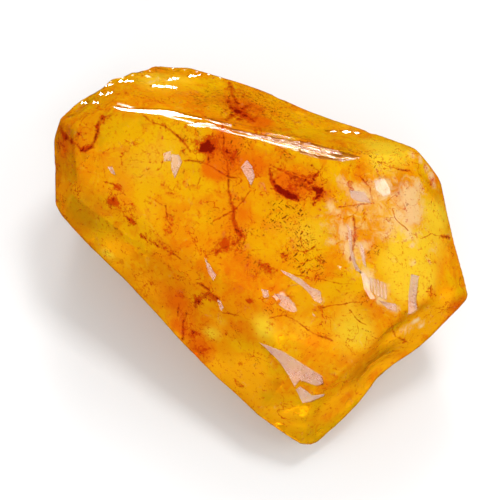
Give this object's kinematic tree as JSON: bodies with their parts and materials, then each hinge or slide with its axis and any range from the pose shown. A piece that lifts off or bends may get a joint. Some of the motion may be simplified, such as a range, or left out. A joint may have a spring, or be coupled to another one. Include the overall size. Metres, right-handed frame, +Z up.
{
  "type": "rough sapphire crystal",
  "caption": "Rough see-through yellow-orange sapphire, a worn faceted crystal with a ridge, chipped rim and flat back, lying on its back.",
  "frame": {"origin": "middle of the bounding box seen from above, at the height of the flat back that the stone rests on", "axes": "+Z up, away from the resting face; +X along the longest side, from the narrow end to the blunt end with the bright face; the roof face behind the ridge looks towards +Y"},
  "size_m": [0.041, 0.0284, 0.0207],
  "materials": {
    "sapphire": "polished"
  },
  "bodies": {
    "root": {"stone": "sapphire"}
  },
  "joints": []
}
